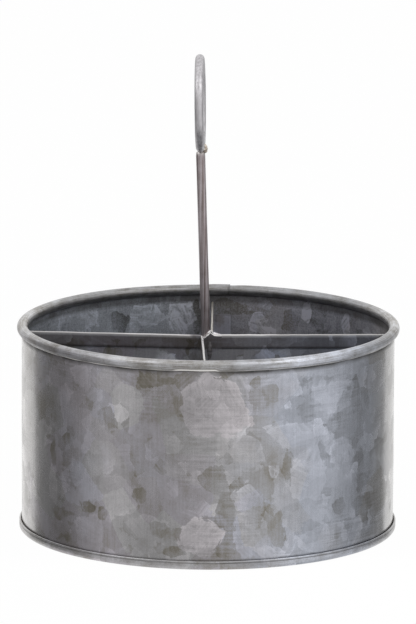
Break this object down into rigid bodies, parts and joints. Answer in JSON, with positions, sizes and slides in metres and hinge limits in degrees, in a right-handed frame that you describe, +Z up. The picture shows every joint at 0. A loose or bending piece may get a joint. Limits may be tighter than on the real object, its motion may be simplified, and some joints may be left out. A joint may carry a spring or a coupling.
{
  "type": "cutlery caddy",
  "caption": "Round galvanised sheet metal cutlery caddy with a curled rim, crossed dividers, an upright rod and a ring handle.",
  "frame": {"origin": "middle of the underside, on the surface that the caddy stands on", "axes": "+Z up along the drum and the handle rod, +X to the caddy's right, -Y to its front; the lapped side seam is at the back"},
  "size_m": [0.2, 0.2, 0.2494],
  "materials": {
    "galvanised_sheet": "aged zinc with angular spangle patches, satin",
    "galvanised_divider": "aged zinc with fine spangle, satin, a little darker",
    "steel_wire": "plain drawn wire",
    "steel_rod": "dull warm grey, drawn, satin",
    "weld_metal": "bright weld metal, uneven"
  },
  "bodies": {
    "root": {"drum_wall": "galvanised_sheet", "base_pan": "galvanised_sheet", "divider_right_back": "galvanised_divider", "divider_left_front": "galvanised_divider", "rim_wire": "steel_wire", "handle_rod": "steel_rod", "handle_ring": "steel_rod", "ring_weld": "weld_metal", "rod_weld_front": "weld_metal", "rod_weld_back": "weld_metal"}
  },
  "joints": []
}
